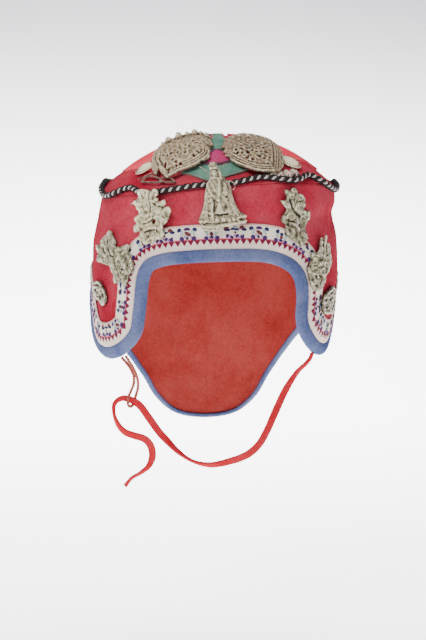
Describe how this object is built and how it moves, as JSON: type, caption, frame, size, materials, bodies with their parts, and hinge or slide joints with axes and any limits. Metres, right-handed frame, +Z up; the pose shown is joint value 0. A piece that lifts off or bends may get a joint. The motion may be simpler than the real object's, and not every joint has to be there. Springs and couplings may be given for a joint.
{
  "type": "child's festive cap with ear flaps and a neck flap",
  "caption": "Padded red cotton cap with ear flaps and a long neck flap, ribbon band, blue binding and old silver castings sewn on.",
  "frame": {"origin": "the highest point of the hollow under the domed top, where a head carries the cap", "axes": "+Z up, -Y to the front where the face opening is, +X to the right of a person who faces the cap"},
  "size_m": [0.1788, 0.1977, 0.2443],
  "materials": {
    "red_cotton": "soft plain cotton, slightly faded and creased",
    "blue_cotton": "soft plain cotton, folded over the edge",
    "cream_ribbon": "woven ribbon with raised coloured motifs",
    "metallic_cord": "twisted black cord with flattened silver thread",
    "green_cotton": "plain cotton, edge stitched",
    "magenta_satin": "satin with a stitched pale edge",
    "coral_satin": "satin, edge stitched",
    "cream_felt": "felt with pinked and stitched rim",
    "low_silver": "old cast and pressed low silver, tarnished",
    "red_tape": "narrow woven cotton tape",
    "orange_cord": "thin twisted cotton cord"
  },
  "bodies": {
    "root": {"crown_wall": "red_cotton", "crown_top": "red_cotton", "edge_binding": "blue_cotton", "ribbon_band": "cream_ribbon", "seam_cord": "metallic_cord", "green_patch": "green_cotton", "magenta_patch": "magenta_satin", "coral_patch_left": "coral_satin", "coral_patch_right": "coral_satin", "cream_disc_left": "cream_felt", "cream_disc_right": "cream_felt", "plaque_left": "low_silver", "plaque_right": "low_silver", "figure_plaque": "low_silver", "charm_upper_left": "low_silver", "charm_upper_right": "low_silver", "charm_middle_left": "low_silver", "charm_middle_right": "low_silver", "charm_lower_left": "low_silver", "charm_lower_right": "low_silver", "wire_spray": "low_silver", "flower_chain": "low_silver", "chin_tie": "red_tape", "tie_loop": "orange_cord"}
  },
  "joints": []
}
